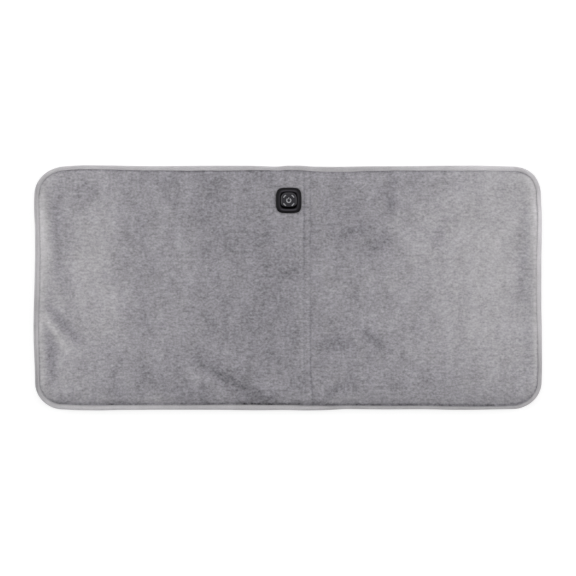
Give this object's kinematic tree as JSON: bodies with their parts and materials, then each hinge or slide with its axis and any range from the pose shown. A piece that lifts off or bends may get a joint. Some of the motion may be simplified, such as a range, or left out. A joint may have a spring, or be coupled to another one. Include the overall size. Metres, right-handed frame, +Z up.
{
  "type": "heated seat cushion",
  "caption": "Thin plush heated seat pad for two places, with a bound edge, a sewn fold across it and a square push-button control on top.",
  "frame": {"origin": "middle of the flat underside, on the surface that the pad lies on", "axes": "+X along the pad, to the right as seen from the front with the control at the back; +Y towards the back edge, where the inlet is; +Z up"},
  "size_m": [0.932, 0.45, 0.0183],
  "materials": {
    "plush": "short brushed pile, heathered grey",
    "backing": "woven backing with non-slip dots",
    "binding_tape": "folded tape, light grey",
    "wadding": "loose fibre",
    "heater_cloth": "non-woven cloth",
    "heating_wire": "silicone sheath",
    "black_plastic": "fine moulded texture",
    "gloss_plastic": "polished",
    "milky_plastic": "milky, lets light through",
    "board": "solder mask",
    "sleeve": "shrunk sleeve",
    "steel": "nickel plated",
    "brass": "plain"
  },
  "bodies": {
    "left_half": {"left_top_cover": "plush", "left_bottom_cover": "backing", "left_edge_binding": "binding_tape", "left_upper_wadding": "wadding", "left_lower_wadding": "wadding", "left_heater_cloth": "heater_cloth", "left_heating_wire": "heating_wire", "left_thermostat": "sleeve", "left_wire_sleeve": "brass", "left_supply_lead": "heating_wire", "left_return_lead": "heating_wire", "crossing_supply_lead": "heating_wire", "crossing_return_lead": "heating_wire", "control_bezel": "black_plastic", "control_base": "black_plastic", "circuit_board": "board", "switch_body": "black_plastic", "control_chip": "black_plastic", "power_led": "milky_plastic", "level_led_1": "milky_plastic", "level_led_2": "milky_plastic", "level_led_3": "milky_plastic", "level_led_4": "milky_plastic", "control_screw_1": "steel", "control_screw_2": "steel", "control_screw_3": "steel", "control_screw_4": "steel", "inlet_block": "black_plastic", "inlet_socket_shell": "steel", "inlet_contact_tongue": "black_plastic", "inlet_lead": "black_plastic"},
    "right_half": {"right_top_cover": "plush", "right_bottom_cover": "backing", "right_edge_binding": "binding_tape", "right_upper_wadding": "wadding", "right_lower_wadding": "wadding", "right_heater_cloth": "heater_cloth", "right_heating_wire": "heating_wire", "right_thermostat": "sleeve", "right_wire_sleeve": "brass", "right_supply_lead": "heating_wire", "right_return_lead": "heating_wire"},
    "button": {"button_cap": "gloss_plastic", "switch_plunger": "milky_plastic", "power_mark_ring": "milky_plastic", "power_mark_bar": "milky_plastic", "level_guide_1": "milky_plastic", "level_guide_2": "milky_plastic", "level_guide_3": "milky_plastic", "level_guide_4": "milky_plastic"}
  },
  "joints": [
    {"name": "fold", "type": "hinge", "parent": "left_half", "child": "right_half", "pos_m": [0.0355, 0, 0], "axis": [0, 1, 0], "range_deg": [0, 178]},
    {"name": "button_press", "type": "slide", "parent": "left_half", "child": "button", "axis": [0, 0, -1], "range_m": [0, 0.0005], "stiffness_N_per_m": 3000, "springref_m": -0.0003}
  ]
}
